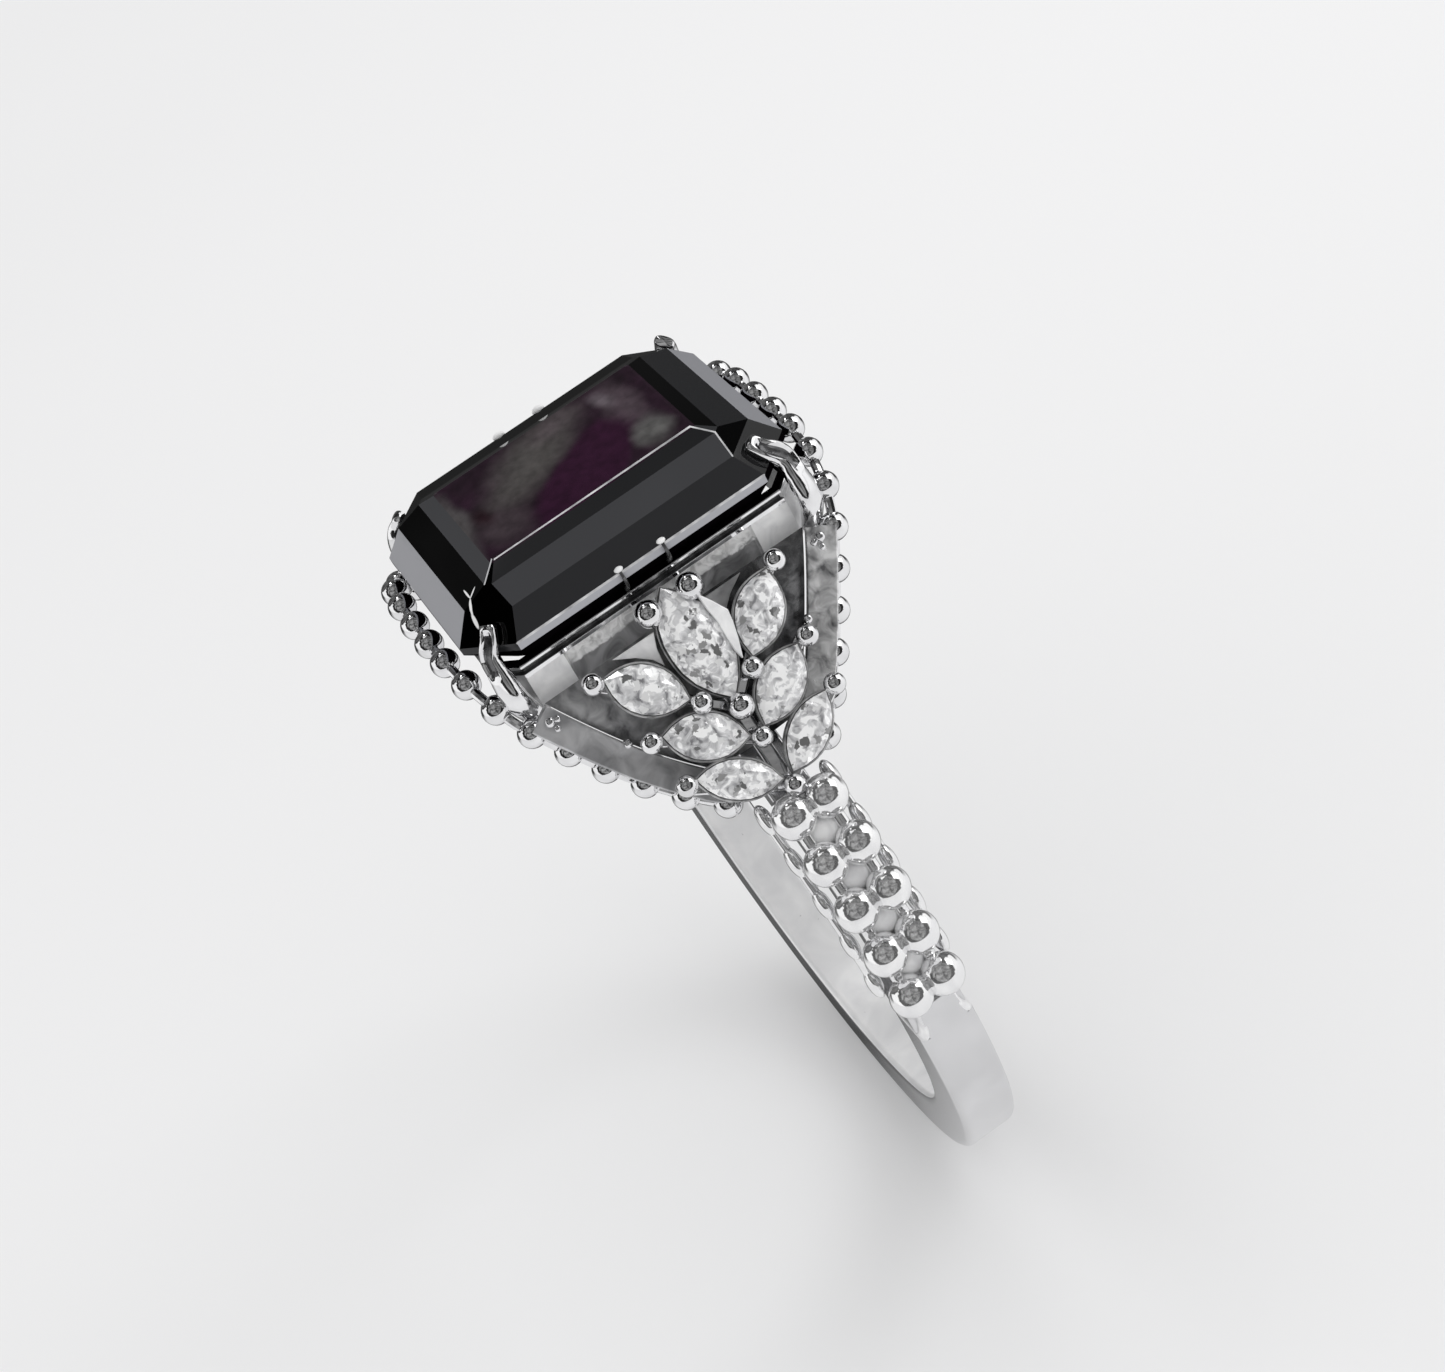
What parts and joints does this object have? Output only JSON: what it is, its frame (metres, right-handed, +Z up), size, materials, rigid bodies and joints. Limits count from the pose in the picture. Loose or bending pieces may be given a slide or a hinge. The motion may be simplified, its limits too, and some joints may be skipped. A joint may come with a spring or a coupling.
{
  "type": "engagement ring",
  "caption": "Finger ring with an emerald-cut stone in corner claws, marquise sprays on the shoulders, beaded rails and a plain band.",
  "frame": {"origin": "centre of the finger hole, half way across the band", "axes": "+Z up through the centre stone's table, +Y along the finger, +X to the right shoulder"},
  "size_m": [0.0232, 0.012, 0.0262],
  "materials": {
    "band_metal": "polished white metal",
    "bright_metal": "high polish white metal",
    "centre_stone": "polished, near black with a plum tint",
    "clear_stone": "polished, colourless"
  },
  "bodies": {
    "root": {"shank": "band_metal", "head_bridge": "band_metal", "centre_stone": "centre_stone", "gallery_frame": "bright_metal", "beaded_rail_back": "bright_metal", "beaded_rail_front": "bright_metal", "ball_row_right_back": "bright_metal", "ball_row_right_front": "bright_metal", "ball_row_left_back": "bright_metal", "ball_row_left_front": "bright_metal", "flank_bead_row_right_back": "bright_metal", "flank_bead_row_right_front": "bright_metal", "flank_bead_row_left_back": "bright_metal", "flank_bead_row_left_front": "bright_metal", "edge_strip_right_back": "bright_metal", "edge_strip_right_front": "bright_metal", "edge_strip_left_back": "bright_metal", "edge_strip_left_front": "bright_metal", "corner_claw_right_back": "bright_metal", "corner_claw_right_front": "bright_metal", "corner_claw_left_back": "bright_metal", "corner_claw_left_front": "bright_metal", "side_prong_right_back": "bright_metal", "side_prong_right_front": "bright_metal", "side_prong_left_back": "bright_metal", "side_prong_left_front": "bright_metal", "spray_frame_right": "bright_metal", "spray_frame_left": "bright_metal", "marquise_centre_right": "clear_stone", "marquise_upper_right_back": "clear_stone", "marquise_upper_right_front": "clear_stone", "marquise_middle_right_back": "clear_stone", "marquise_middle_right_front": "clear_stone", "marquise_lower_right_back": "clear_stone", "marquise_lower_right_front": "clear_stone", "marquise_centre_left": "clear_stone", "marquise_upper_left_back": "clear_stone", "marquise_upper_left_front": "clear_stone", "marquise_middle_left_back": "clear_stone", "marquise_middle_left_front": "clear_stone", "marquise_lower_left_back": "clear_stone", "marquise_lower_left_front": "clear_stone"}
  },
  "joints": []
}
